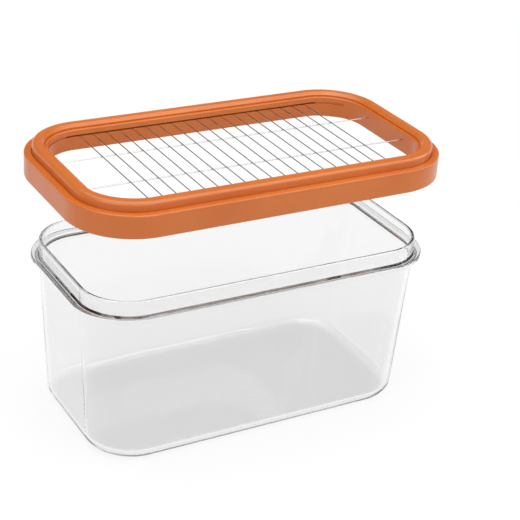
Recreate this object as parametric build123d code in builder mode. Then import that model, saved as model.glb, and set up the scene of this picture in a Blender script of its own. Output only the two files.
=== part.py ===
from build123d import *
import os

# Butter dish with a wire cutter, in millimetres.
# The origin is the middle of the tub's base, on the surface that it stands on.
# X runs along the tub, Y across it and Z up. The cutter is held above the tub, where it is lifted off.

# Tub: a clear tapered box with a flange round its mouth and a neck standing on the flange
base_length = 164.0
base_width = 87.2
base_corner = 23.3
base_edge_radius = 6.0
floor_thickness = 2.6
lower_wall = 2.4
floor_radius = 3.8
flange_length = 180.0
flange_width = 96.0
flange_corner = 26.8
flange_bottom = 75.0
flange_thickness = 2.2
flange_edge_radius = 0.6
flange_root_radius = 2.6
neck_inset = 3.7
neck_top = 84.0
neck_wall = 1.8
rim_radius = 0.7

# Cutter frame: outline, and heights above the lower edge of its skirt
frame_length = 186.0
frame_width = 102.0
frame_corner = 30.5
skirt_wall = 2.4
skirt_inner_corner = 27.6
roof_height = 8.1
seat_height = 9.8
ledge_height = 10.8
ledge_depth = 3.25
ledge_edge_radius = 0.6
skirt_edge_radius = 0.4
lip_bottom = 3.2
lip_wall = 1.6
lip_edge_radius = 0.4
opening_inset = 10.6

# Clamp ring: it drops into the frame's rebate and holds the wires down
ring_inset = 3.5
ring_top = 15.2
ring_crown_width = 5.6
ring_step_height = 13.2
ring_outer_radius = 1.7
ring_crown_bevel = 1.3
ring_inner_radius = 0.5
ring_groove_width = 0.4
ring_groove_depth = 0.3
tongue_inset = 4.9
tongue_width = 0.8
tongue_depth = 0.7
tongue_clearance = 0.05

# Wires: cross wires lie in a slit along the long sides, long wires in grooves below them
wire_diameter = 0.5
wire_clearance = 0.02
wire_end_inset = 6.3
cross_wire_count = 19
cross_wire_pitch = 6.7
long_wire_spacing = 30.0
slit_length = 140.0
slit_inset = 6.0
slit_mouth_length = 158.0
slit_mouth_height = 0.8
slit_mouth_depth = 0.5
groove_width = 0.6

# How the cutter sits on the tub, and how far it is lifted here
seat_gap = 0.3
lift = 41.0

# Heights that follow from the driving dimensions
flange_top = flange_bottom + flange_thickness
cutter_base = neck_top + seat_gap - roof_height + lift
cross_wire_height = seat_height + wire_clearance + wire_diameter / 2
long_wire_height = cross_wire_height - wire_diameter - wire_clearance
slit_top = seat_height + wire_diameter + 2 * wire_clearance
groove_bottom = long_wire_height - wire_diameter / 2 - wire_clearance


def tub_level(height):
    """A level plane at a height above the surface that the tub stands on."""
    return Plane.XY.offset(height)


def cutter_level(height):
    """A level plane at a height above the lower edge of the lifted cutter's skirt."""
    return Plane.XY.offset(cutter_base + height)


def flange_outline(inset):
    """The flange's outline, drawn in by inset."""
    RectangleRounded(flange_length - 2 * inset, flange_width - 2 * inset, flange_corner - inset)


def base_outline(inset):
    """The base's outline, drawn in by inset."""
    RectangleRounded(base_length - 2 * inset, base_width - 2 * inset, base_corner - inset)


def cutter_band(outer_inset, inner_inset):
    """A band that follows the cutter's outline between two insets."""
    for inset, way in ((outer_inset, Mode.ADD), (inner_inset, Mode.SUBTRACT)):
        RectangleRounded(frame_length - 2 * inset, frame_width - 2 * inset, frame_corner - inset, mode=way)


# Space inside the tub: it widens towards the mouth and runs straight up inside the neck
with BuildPart() as tub_space:
    with BuildSketch(tub_level(floor_thickness)):
        base_outline(lower_wall)
    with BuildSketch(tub_level(flange_bottom)):
        flange_outline(neck_inset + neck_wall)
    loft(ruled=True)
    fillet(tub_space.faces().sort_by(Axis.Z)[0].edges(), radius=floor_radius)
    with BuildSketch(tub_level(flange_bottom)):
        flange_outline(neck_inset + neck_wall)
    extrude(amount=neck_top - flange_bottom)

# Tub
with BuildPart() as tub:
    with BuildSketch(tub_level(0)):
        base_outline(0)
    with BuildSketch(tub_level(flange_bottom)):
        flange_outline(neck_inset)
    loft(ruled=True)
    fillet(tub.faces().sort_by(Axis.Z)[0].edges(), radius=base_edge_radius)
    with BuildSketch(tub_level(flange_bottom)):
        flange_outline(0)
    extrude(amount=flange_thickness)
    flange_underside = tub.faces().filter_by(Axis.Z).sort_by(Axis.Z)[-2]
    fillet(flange_underside.inner_wires()[0].edges(), radius=flange_root_radius)
    flange_faces = tub.faces().filter_by(Axis.Z).sort_by(Axis.Z)[-2:]
    fillet([edge for face in flange_faces for edge in face.outer_wire().edges()], radius=flange_edge_radius)
    with BuildSketch(tub_level(flange_top)):
        flange_outline(neck_inset)
    extrude(amount=neck_top - flange_top)
    add(tub_space.part, mode=Mode.SUBTRACT)
    fillet(tub.faces().sort_by(Axis.Z)[-1].edges(), radius=rim_radius)
tub.part.label = "tub"

# Cutter frame: skirt outside the tub's flange, lip inside its neck, and a roof that rests on the rim
with BuildPart() as cutter_frame:
    with BuildSketch(cutter_level(0)):
        cutter_band(0, opening_inset)
    extrude(amount=ledge_height)
    with BuildSketch(cutter_level(0)):
        RectangleRounded(
            frame_length - 2 * skirt_wall,
            frame_width - 2 * skirt_wall,
            skirt_inner_corner,
        )
        lip_outer_inset = opening_inset - lip_wall
        RectangleRounded(
            frame_length - 2 * lip_outer_inset,
            frame_width - 2 * lip_outer_inset,
            frame_corner - lip_outer_inset,
            mode=Mode.SUBTRACT,
        )
    extrude(amount=roof_height, mode=Mode.SUBTRACT)
    with BuildSketch(cutter_level(0)):
        cutter_band(lip_outer_inset - lip_wall, opening_inset)
    extrude(amount=lip_bottom, mode=Mode.SUBTRACT)
    with BuildSketch(cutter_level(seat_height)):
        cutter_band(ledge_depth, opening_inset)
    extrude(amount=ledge_height - seat_height, mode=Mode.SUBTRACT)
    with BuildSketch(cutter_level(seat_height)):
        cutter_band(tongue_inset - tongue_clearance, tongue_inset + tongue_width + tongue_clearance)
    extrude(amount=-tongue_depth - tongue_clearance, mode=Mode.SUBTRACT)
    with BuildSketch(cutter_level(groove_bottom)):
        with GridLocations(0, long_wire_spacing, 1, 2):
            Rectangle(frame_length - 2 * slit_inset, groove_width)
    extrude(amount=seat_height - groove_bottom, mode=Mode.SUBTRACT)
    ledge_face = cutter_frame.faces().sort_by(Axis.Z)[-1]
    fillet(ledge_face.outer_wire().edges(), radius=ledge_edge_radius)
    skirt_face = cutter_frame.faces().filter_by(Axis.Z).sort_by(Axis.Z)[0]
    fillet(skirt_face.outer_wire().edges(), radius=skirt_edge_radius)
    lip_face = cutter_frame.faces().filter_by(Axis.Z).sort_by(Axis.Z)[1]
    fillet(lip_face.edges(), radius=lip_edge_radius)
cutter_frame.part.label = "cutter_frame"

# Clamp ring: a crown bevelled inwards, a groove at its foot and a lower step along the inner edge, a weld
# tongue below, and the slit for the cross wires, whose mouth is taller and runs on into the corners
with BuildPart() as clamp_ring:
    with BuildSketch(cutter_level(seat_height)):
        cutter_band(ring_inset, opening_inset)
    extrude(amount=ring_step_height - seat_height)
    with BuildSketch(cutter_level(ring_step_height)):
        cutter_band(ring_inset, ring_inset + ring_crown_width)
    extrude(amount=ring_top - ring_step_height)
    with BuildSketch(cutter_level(seat_height)):
        cutter_band(tongue_inset, tongue_inset + tongue_width)
    extrude(amount=-tongue_depth)
    slit_width = opening_inset - slit_inset
    slit_spacing = frame_width - slit_inset - opening_inset
    with BuildSketch(cutter_level(seat_height)):
        with GridLocations(0, slit_spacing, 1, 2):
            Rectangle(slit_length, slit_width)
    extrude(amount=slit_top - seat_height, mode=Mode.SUBTRACT)
    with BuildSketch(cutter_level(seat_height)):
        cutter_band(opening_inset - slit_mouth_depth, opening_inset)
        Rectangle(slit_mouth_length, frame_width, mode=Mode.INTERSECT)
    extrude(amount=slit_mouth_height, mode=Mode.SUBTRACT)
    crown_face = clamp_ring.faces().sort_by(Axis.Z)[-1]
    fillet(crown_face.outer_wire().edges(), radius=ring_outer_radius)
    crown_face = clamp_ring.faces().sort_by(Axis.Z)[-1]
    chamfer(crown_face.inner_wires()[0].edges(), length=ring_crown_bevel)
    step_face = clamp_ring.faces().filter_by(Axis.Z).group_by(Axis.Z)[-2][0]
    fillet(step_face.inner_wires()[0].edges(), radius=ring_inner_radius)
    with BuildSketch(cutter_level(ring_step_height)):
        cutter_band(ring_inset + ring_crown_width, ring_inset + ring_crown_width + ring_groove_width)
    extrude(amount=-ring_groove_depth, mode=Mode.SUBTRACT)
clamp_ring.part.label = "clamp_ring"

os.makedirs("parts", exist_ok=True)
export_step(tub.part, "parts/tub.step")
export_step(cutter_frame.part, "parts/cutter_frame.step")
export_step(clamp_ring.part, "parts/clamp_ring.step")

# Cross wires: straight lengths across the tub, side by side
cross_wire_length = frame_width - 2 * wire_end_inset
for number in range(cross_wire_count):
    wire_x = (number - (cross_wire_count - 1) / 2) * cross_wire_pitch
    with BuildPart() as cross_wire:
        with BuildSketch(Plane.XZ):
            with Locations((wire_x, cutter_base + cross_wire_height)):
                Circle(wire_diameter / 2)
        extrude(amount=cross_wire_length / 2, both=True)
    cross_wire.part.label = f"cross_wire_{number + 1:02d}"
    export_step(cross_wire.part, f"parts/{cross_wire.part.label}.step")

# Long wires: two straight lengths along the tub, just under the cross wires
long_wire_length = frame_length - 2 * wire_end_inset
for number, wire_y in enumerate((-long_wire_spacing / 2, long_wire_spacing / 2), start=1):
    with BuildPart() as long_wire:
        with BuildSketch(Plane.YZ):
            with Locations((wire_y, cutter_base + long_wire_height)):
                Circle(wire_diameter / 2)
        extrude(amount=long_wire_length / 2, both=True)
    long_wire.part.label = f"long_wire_{number}"
    export_step(long_wire.part, f"parts/{long_wire.part.label}.step")
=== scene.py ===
import math

import bmesh
import bpy
from mathutils import Matrix, Vector


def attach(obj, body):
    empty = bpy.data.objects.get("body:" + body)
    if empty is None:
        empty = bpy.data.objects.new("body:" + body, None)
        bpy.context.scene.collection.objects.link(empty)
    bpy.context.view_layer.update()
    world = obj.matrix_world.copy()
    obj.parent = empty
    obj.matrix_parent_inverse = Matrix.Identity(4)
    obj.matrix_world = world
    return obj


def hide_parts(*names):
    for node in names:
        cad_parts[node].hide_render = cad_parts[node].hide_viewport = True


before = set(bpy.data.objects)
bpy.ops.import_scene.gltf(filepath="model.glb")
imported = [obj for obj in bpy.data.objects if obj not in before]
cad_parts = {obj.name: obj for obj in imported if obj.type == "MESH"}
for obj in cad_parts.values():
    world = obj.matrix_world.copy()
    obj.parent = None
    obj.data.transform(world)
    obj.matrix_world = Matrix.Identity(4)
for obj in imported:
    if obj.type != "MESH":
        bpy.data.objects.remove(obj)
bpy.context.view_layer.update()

MM = 0.001

# Camera: it stands in front of the box and to its left, a little above it, and leans a few degrees
CAMERA_AZIMUTH = math.radians(-31.1)
CAMERA_ELEVATION = math.radians(26.8)
CAMERA_ROLL = math.radians(4.2)
CAMERA_DISTANCE = 722 * MM
CAMERA_ASIDE = 19.4 * MM
CAMERA_RAISED = 62.8 * MM
CAMERA_LENS = 100.2
CAMERA_SENSOR = 36.0
CAMERA_SEES_FROM = 0.01
CAMERA_SEES_TO = 50.0

# Floor: its size, how far below the box it lies, its tint, its glow, the share of that glow next to the box,
# and how far out it has nothing but glow
FLOOR_SIZE = 12.0
FLOOR_DROP = 0.05 * MM
FLOOR_TINT = (0.8, 0.8, 0.8, 1.0)
FLOOR_GLOW = 1.04
GLOW_NEAR_BOX = 0.85
WHITE_FROM = 0.9

# Tub: outlines and heights of the moulding, which the CAD tub has too
BASE_LENGTH = 164.0 * MM
BASE_WIDTH = 87.2 * MM
BASE_CORNER = 23.3 * MM
BASE_EDGE_RADIUS = 6.0 * MM
FLOOR_THICKNESS = 2.6 * MM
LOWER_WALL = 2.4 * MM
FLOOR_RADIUS = 3.8 * MM
FLANGE_LENGTH = 180.0 * MM
FLANGE_WIDTH = 96.0 * MM
FLANGE_CORNER = 26.8 * MM
FLANGE_BOTTOM = 75.0 * MM
FLANGE_TOP = 77.2 * MM
FLANGE_EDGE_RADIUS = 0.6 * MM
FLANGE_ROOT_RADIUS = 2.6 * MM
NECK_INSET = 3.7 * MM
NECK_TOP = 84.0 * MM
NECK_WALL = 1.8 * MM
RIM_RADIUS = 0.7 * MM

# Tub: steps round a corner and over each rounded edge, and the angle from which an edge stays sharp
CORNER_SEGMENTS = 20
BASE_EDGE_STEPS = 6
FLANGE_ROOT_STEPS = 6
FLANGE_EDGE_STEPS = 3
RIM_STEPS = 5
FLOOR_STEPS = 10
SHARP_ANGLE = math.radians(50)

# Finishes: how large and how deep their patterns are
PIGMENT_DRIFT = 38 * MM
MOULD_GRAIN = 0.7 * MM
MOULD_GRAIN_DEPTH = 0.02 * MM
FLOW_RIPPLE = 26 * MM
FLOW_RIPPLE_DEPTH = 0.05 * MM
DIE_LINE_WIDTH = 0.12 * MM
DIE_LINE_LENGTH = 9 * MM

# Room: the level from all round, how bright the room behind the table is by the sine of the height that gloss
# looks at, how bright it is in front, and the part of the way round in which the one gives way to the other
FILL_LEVEL = 0.44
BACK_BY_HEIGHT = ((0.0, 1.0), (0.12, 1.0), (0.2, 0.15), (0.45, 0.1), (0.55, 0.0), (1.0, 0.0))
FRONT_LEVEL = 2.6
FRONT_ENDS = -0.25
BACK_STARTS = 0.1

# Softboxes: the point that they face, and each one's name, place, size and power
SOFTBOXES_FACE = (0, 0, 60 * MM)
SOFTBOXES = (
    ("overhead_softbox", (-0.15, 0.1, 0.95), 0.9, 6.1),
    ("left_softbox", (-0.95, -0.5, 0.55), 0.6, 2.0),
    ("front_softbox", (0.35, -0.75, 0.85), 0.8, 2.9),
    ("right_softbox", (0.75, -0.25, 0.4), 0.4, 1.25),
)

# Clear plastic passes light through many faces
LIGHT_BOUNCES = 64


def linear(hex_colour):
    """An sRGB colour such as #D27A45 as the linear colour that a shader takes."""
    parts = [int(hex_colour[i:i + 2], 16) / 255 for i in (1, 3, 5)]
    return tuple(p / 12.92 if p <= 0.04045 else ((p + 0.055) / 1.055) ** 2.4 for p in parts) + (1.0,)


def grey(level):
    """A grey of a level, as a colour."""
    return (level, level, level, 1.0)


def add_node(tree, kind, inputs=None, **settings):
    """Adds a node. Each input is a number, a colour or another node's socket."""
    new = tree.nodes.new(kind)
    for name, value in settings.items():
        setattr(new, name, value)
    for name, value in (inputs or {}).items():
        socket = new.inputs[name]
        if isinstance(value, bpy.types.NodeSocket):
            tree.links.new(value, socket)
        else:
            socket.default_value = value
    return new


def new_material(name):
    """An empty node material, and its tree."""
    material = bpy.data.materials.new(name)
    material.use_nodes = True
    material.node_tree.nodes.clear()
    return material, material.node_tree


def orange_polypropylene():
    """Moulded polypropylene, satin from a fine-stoned mould."""
    material, tree = new_material("orange_moulded_polypropylene")
    place = add_node(tree, "ShaderNodeTexCoord").outputs["Object"]
    # The pigment is a little uneven from one end of a moulding to the other
    drift = add_node(tree, "ShaderNodeTexNoise", {"Vector": place, "Scale": 1 / PIGMENT_DRIFT, "Detail": 2.0})
    tint = add_node(tree, "ShaderNodeValToRGB", {"Fac": drift.outputs["Fac"]})
    for stop, position, colour in zip(tint.color_ramp.elements, (0.3, 0.7), ("#C96825", "#D0712C")):
        stop.position = position
        stop.color = linear(colour)
    # The mould's grain breaks up the gloss
    grain = add_node(tree, "ShaderNodeTexNoise", {"Vector": place, "Scale": 1 / MOULD_GRAIN, "Detail": 3.0})
    gloss = add_node(tree, "ShaderNodeMapRange", {
        "Value": grain.outputs["Fac"], "To Min": 0.24, "To Max": 0.34})
    bump = add_node(tree, "ShaderNodeBump", {
        "Height": grain.outputs["Fac"], "Distance": MOULD_GRAIN_DEPTH, "Strength": 0.6})
    shader = add_node(tree, "ShaderNodeBsdfPrincipled", {
        "Base Color": tint.outputs["Color"], "Roughness": gloss.outputs["Result"], "IOR": 1.49,
        "Normal": bump.outputs["Normal"]})
    add_node(tree, "ShaderNodeOutputMaterial", {"Surface": shader.outputs["BSDF"]})
    return material


def clear_polystyrene():
    """Moulded crystal polystyrene: clear, with the soft ripple of plastic that flowed into a thin wall."""
    material, tree = new_material("clear_moulded_polystyrene")
    place = add_node(tree, "ShaderNodeTexCoord").outputs["Object"]
    ripple = add_node(tree, "ShaderNodeTexNoise", {"Vector": place, "Scale": 1 / FLOW_RIPPLE, "Detail": 1.0})
    bump = add_node(tree, "ShaderNodeBump", {
        "Height": ripple.outputs["Fac"], "Distance": FLOW_RIPPLE_DEPTH, "Strength": 0.5})
    shader = add_node(tree, "ShaderNodeBsdfPrincipled", {
        "Base Color": linear("#F6F6F6"), "Roughness": 0.02, "IOR": 1.59, "Transmission Weight": 1.0,
        "Normal": bump.outputs["Normal"]})
    add_node(tree, "ShaderNodeOutputMaterial", {"Surface": shader.outputs["BSDF"]})
    return material


def drawn_steel(name, along):
    """Stainless steel wire, drawn through a die: bright, with fine lines that run along it."""
    material, tree = new_material(name)
    place = add_node(tree, "ShaderNodeTexCoord").outputs["Object"]
    stretch = [1 / DIE_LINE_WIDTH] * 3
    stretch[along] = 1 / DIE_LINE_LENGTH
    lines = add_node(tree, "ShaderNodeMapping", {"Vector": place, "Scale": stretch})
    die_lines = add_node(tree, "ShaderNodeTexNoise", {
        "Vector": lines.outputs["Vector"], "Scale": 1.0, "Detail": 2.0})
    gloss = add_node(tree, "ShaderNodeMapRange", {
        "Value": die_lines.outputs["Fac"], "To Min": 0.16, "To Max": 0.34})
    shader = add_node(tree, "ShaderNodeBsdfPrincipled", {
        "Base Color": linear("#B9B9B8"), "Metallic": 1.0, "Roughness": gloss.outputs["Result"]})
    add_node(tree, "ShaderNodeOutputMaterial", {"Surface": shader.outputs["BSDF"]})
    return material


def dress(node, material):
    """Gives a CAD node its finish."""
    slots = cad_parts[node].material_slots
    slots[0].link = "OBJECT"
    slots[0].material = material


def dress_cutter():
    """Orange for the frame and the ring, and drawn steel with its lines along each wire."""
    orange = orange_polypropylene()
    dress("cutter_frame", orange)
    dress("clamp_ring", orange)
    cross_steel = drawn_steel("cross_wire_drawn_steel", 1)
    long_steel = drawn_steel("long_wire_drawn_steel", 0)
    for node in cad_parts:
        if node.startswith("cross_wire"):
            dress(node, cross_steel)
        if node.startswith("long_wire"):
            dress(node, long_steel)


def flange_outline(inset, height):
    """Length, width, corner radius and height of the flange's outline, drawn in by inset."""
    return (FLANGE_LENGTH - 2 * inset, FLANGE_WIDTH - 2 * inset, FLANGE_CORNER - inset, height)


def base_outline(inset, height):
    """The same four sizes for the base's outline."""
    return (BASE_LENGTH - 2 * inset, BASE_WIDTH - 2 * inset, BASE_CORNER - inset, height)


def on_wall(low, high, height, inset=0.0):
    """The outline at a height of a wall that runs straight from one outline up to another, less an inset."""
    share = (height - low[3]) / (high[3] - low[3])
    length, width, corner, _ = (a + share * (b - a) for a, b in zip(low, high))
    return (length - 2 * inset, width - 2 * inset, corner - inset, height)


def quarter_turn(radius, steps):
    """Steps round a quarter circle: how far each has gone along its first side and along its second."""
    for step in range(steps + 1):
        angle = math.pi / 2 * step / steps
        yield radius * math.sin(angle), radius * (1 - math.cos(angle))


def tub_outlines():
    """The outlines of the tub's surface, from its underside up to the rim, and down inside to the floor."""
    outer = (base_outline(0, 0), flange_outline(NECK_INSET, FLANGE_BOTTOM))
    inner = (base_outline(LOWER_WALL, FLOOR_THICKNESS), flange_outline(NECK_INSET + NECK_WALL, FLANGE_BOTTOM))
    outlines = []
    for out, up in quarter_turn(BASE_EDGE_RADIUS, BASE_EDGE_STEPS):
        outlines.append(on_wall(*outer, up, BASE_EDGE_RADIUS - out))
    for up, out in quarter_turn(FLANGE_ROOT_RADIUS, FLANGE_ROOT_STEPS):
        outlines.append(on_wall(*outer, FLANGE_BOTTOM - FLANGE_ROOT_RADIUS + up, -out))
    for out, up in quarter_turn(FLANGE_EDGE_RADIUS, FLANGE_EDGE_STEPS):
        outlines.append(flange_outline(FLANGE_EDGE_RADIUS - out, FLANGE_BOTTOM + up))
    for up, back in quarter_turn(FLANGE_EDGE_RADIUS, FLANGE_EDGE_STEPS):
        outlines.append(flange_outline(back, FLANGE_TOP - FLANGE_EDGE_RADIUS + up))
    outlines.append(flange_outline(NECK_INSET, FLANGE_TOP))
    for up, back in quarter_turn(RIM_RADIUS, RIM_STEPS):
        outlines.append(flange_outline(NECK_INSET + back, NECK_TOP - RIM_RADIUS + up))
    for back, down in quarter_turn(RIM_RADIUS, RIM_STEPS):
        outlines.append(flange_outline(NECK_INSET + NECK_WALL - RIM_RADIUS + back, NECK_TOP - down))
    outlines.append(inner[1])
    for down, back in quarter_turn(FLOOR_RADIUS, FLOOR_STEPS):
        outlines.append(on_wall(*inner, FLOOR_THICKNESS + FLOOR_RADIUS - down, back))
    return outlines


def rounded_rectangle(bm, length, width, corner, height):
    """Adds a level rounded rectangle as one face."""
    made = bmesh.ops.create_grid(bm, x_segments=1, y_segments=1, size=0.5)
    bmesh.ops.scale(bm, vec=(length, width, 1), verts=made["verts"])
    bmesh.ops.translate(bm, vec=(0, 0, height), verts=made["verts"])
    bmesh.ops.bevel(bm, geom=made["verts"], offset=corner, offset_type="OFFSET", affect="VERTICES",
                    segments=CORNER_SEGMENTS, profile=0.5, material=-1)


def carry_to(verts, old, new):
    """Moves an outline's vertices onto another outline, each to the same place on its side or corner."""
    for vert in verts:
        for axis in (0, 1):
            turn = (abs(vert.co[axis]) - old[axis] / 2 + old[2]) / old[2]
            vert.co[axis] = math.copysign(new[axis] / 2 - new[2] + turn * new[2], vert.co[axis])
        vert.co.z = new[3]


def skin(name, outlines):
    """A closed skin through level outlines, one after the other, capped at the first and the last."""
    bm = bmesh.new()
    rounded_rectangle(bm, *outlines[0])
    for old, new in zip(outlines, outlines[1:]):
        edge_of_skin = [edge for edge in bm.edges if edge.is_boundary]
        made = bmesh.ops.extrude_edge_only(bm, edges=edge_of_skin)["geom"]
        carry_to([part for part in made if isinstance(part, bmesh.types.BMVert)], old, new)
    bmesh.ops.holes_fill(bm, edges=[edge for edge in bm.edges if edge.is_boundary])
    bmesh.ops.recalc_face_normals(bm, faces=bm.faces)
    for face in bm.faces:
        face.smooth = True
    mesh = bpy.data.meshes.new(name)
    bm.to_mesh(mesh)
    bm.free()
    return mesh


def add_object(name, data):
    """A new object in the scene."""
    new = bpy.data.objects.new(name, data)
    bpy.context.scene.collection.objects.link(new)
    return new


def make_tub():
    """The tub's surface as one closed skin, because facets would show through clear plastic."""
    mesh = skin("clear_tub", tub_outlines())
    mesh.set_sharp_from_angle(angle=SHARP_ANGLE)
    mesh.materials.append(clear_polystyrene())
    tub = add_object("clear_tub", mesh)
    flat = tub.modifiers.new("flat_faces_stay_flat", "WEIGHTED_NORMAL")
    flat.keep_sharp = True
    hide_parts("tub")
    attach(tub, "tub")


def white_floor():
    """Matt white board that glows to plain white for the eye, in gloss and through clear plastic."""
    material, tree = new_material("white_floor")
    rays = add_node(tree, "ShaderNodeLightPath").outputs
    looked_at = add_node(tree, "ShaderNodeMath", {
        0: rays["Is Camera Ray"], 1: rays["Is Glossy Ray"]}, operation="MAXIMUM")
    seen = add_node(tree, "ShaderNodeMath", {
        0: looked_at.outputs[0], 1: rays["Is Transmission Ray"]}, operation="MAXIMUM")
    # Away from the box the floor has no shadow to keep, and is plain white out to its edge
    place = add_node(tree, "ShaderNodeMapping", {
        "Vector": add_node(tree, "ShaderNodeTexCoord").outputs["Object"], "Scale": [1 / WHITE_FROM] * 3})
    near = add_node(tree, "ShaderNodeTexGradient", {"Vector": place.outputs["Vector"]},
                    gradient_type="SPHERICAL")
    glow = add_node(tree, "ShaderNodeMapRange", {
        "Value": near.outputs["Fac"], "From Max": 0.5, "To Min": 1.0, "To Max": GLOW_NEAR_BOX})
    share = add_node(tree, "ShaderNodeMath", {0: seen.outputs[0], 1: glow.outputs[0]}, operation="MULTIPLY")
    matt = add_node(tree, "ShaderNodeBsdfDiffuse", {"Color": FLOOR_TINT})
    white = add_node(tree, "ShaderNodeEmission", {"Color": grey(1.0), "Strength": FLOOR_GLOW})
    mixed = add_node(tree, "ShaderNodeMixShader", {
        0: share.outputs[0], 1: matt.outputs[0], 2: white.outputs[0]})
    add_node(tree, "ShaderNodeOutputMaterial", {"Surface": mixed.outputs[0]})
    return material


def make_floor():
    """A white floor that shows white and keeps a faint shadow."""
    bm = bmesh.new()
    bmesh.ops.create_grid(bm, x_segments=1, y_segments=1, size=FLOOR_SIZE / 2)
    bmesh.ops.translate(bm, vec=(0, 0, -FLOOR_DROP), verts=bm.verts)
    mesh = bpy.data.meshes.new("floor")
    bm.to_mesh(mesh)
    bm.free()
    mesh.materials.append(white_floor())
    floor = add_object("floor", mesh)


def make_world():
    """A white studio. Gloss and clear plastic see a dark room behind the table, over its white backdrop."""
    world = bpy.data.worlds.new("studio")
    bpy.context.scene.world = world
    world.use_nodes = True
    tree = world.node_tree
    tree.nodes.clear()
    rays = add_node(tree, "ShaderNodeLightPath").outputs
    direction = add_node(tree, "ShaderNodeTexCoord").outputs["Generated"]
    way = add_node(tree, "ShaderNodeSeparateXYZ", {"Vector": direction}).outputs
    behind = add_node(tree, "ShaderNodeValToRGB", {"Fac": way["Z"]})
    stops = behind.color_ramp.elements
    while len(stops) < len(BACK_BY_HEIGHT):
        stops.new(0.5)
    for stop, (sine, level) in zip(stops, BACK_BY_HEIGHT):
        stop.position = sine
        stop.color = grey(level)
    towards_back = add_node(tree, "ShaderNodeMapRange", {
        "Value": way["Y"], "From Min": FRONT_ENDS, "From Max": BACK_STARTS})
    # Clear plastic looks out at the dark part of the room on every side
    dark = add_node(tree, "ShaderNodeMath", {
        0: towards_back.outputs[0], 1: rays["Is Transmission Ray"]}, operation="MAXIMUM")
    room = add_node(tree, "ShaderNodeMixRGB", {
        "Fac": dark.outputs[0], "Color1": grey(FRONT_LEVEL), "Color2": behind.outputs["Color"]})
    mirrored = add_node(tree, "ShaderNodeMath", {
        0: rays["Is Glossy Ray"], 1: rays["Is Transmission Ray"]}, operation="MAXIMUM")
    fill = add_node(tree, "ShaderNodeBackground", {"Color": grey(1.0), "Strength": FILL_LEVEL})
    backdrop = add_node(tree, "ShaderNodeBackground", {"Color": grey(1.0), "Strength": 1.0})
    reflected = add_node(tree, "ShaderNodeBackground", {"Color": room.outputs["Color"], "Strength": 1.0})
    direct = add_node(tree, "ShaderNodeMixShader", {
        0: rays["Is Camera Ray"], 1: fill.outputs[0], 2: backdrop.outputs[0]})
    mixed = add_node(tree, "ShaderNodeMixShader", {
        0: mirrored.outputs[0], 1: direct.outputs[0], 2: reflected.outputs[0]})
    add_node(tree, "ShaderNodeOutputWorld", {"Surface": mixed.outputs[0]})


def make_softbox(name, place, size, power):
    """A square softbox at a place, turned to face the box."""
    lamp = bpy.data.lights.new(name, "AREA")
    lamp.shape = "SQUARE"
    lamp.size = size
    lamp.energy = power
    holder = add_object(name, lamp)
    direction = Vector(SOFTBOXES_FACE) - Vector(place)
    holder.location = place
    holder.rotation_mode = "QUATERNION"
    holder.rotation_quaternion = direction.to_track_quat("-Z", "Y")
    # Clear plastic looks past the softboxes at the dark room, so its edges stay dark
    holder.visible_transmission = False


def make_camera():
    """The camera, where the photograph was taken from."""
    back = Vector((
        math.sin(CAMERA_AZIMUTH) * math.cos(CAMERA_ELEVATION),
        -math.cos(CAMERA_AZIMUTH) * math.cos(CAMERA_ELEVATION),
        math.sin(CAMERA_ELEVATION)))
    level_right = Vector((0, 0, 1)).cross(back).normalized()
    level_up = back.cross(level_right)
    right = math.cos(CAMERA_ROLL) * level_right + math.sin(CAMERA_ROLL) * level_up
    up = back.cross(right)
    camera = bpy.data.cameras.new("camera")
    camera.lens = CAMERA_LENS
    camera.sensor_width = CAMERA_SENSOR
    camera.clip_start = CAMERA_SEES_FROM
    camera.clip_end = CAMERA_SEES_TO
    holder = add_object("camera", camera)
    turn = Matrix((right, up, back)).transposed().to_4x4()
    place = back * CAMERA_DISTANCE + right * CAMERA_ASIDE + up * CAMERA_RAISED
    holder.matrix_world = Matrix.Translation(place) @ turn
    bpy.context.scene.camera = holder


make_tub()
dress_cutter()
make_floor()
make_world()
for name, place, size, power in SOFTBOXES:
    make_softbox(name, place, size, power)
make_camera()

scene = bpy.context.scene
scene.view_settings.view_transform = "Standard"
scene.cycles.max_bounces = LIGHT_BOUNCES
scene.cycles.glossy_bounces = LIGHT_BOUNCES
scene.cycles.transmission_bounces = LIGHT_BOUNCES
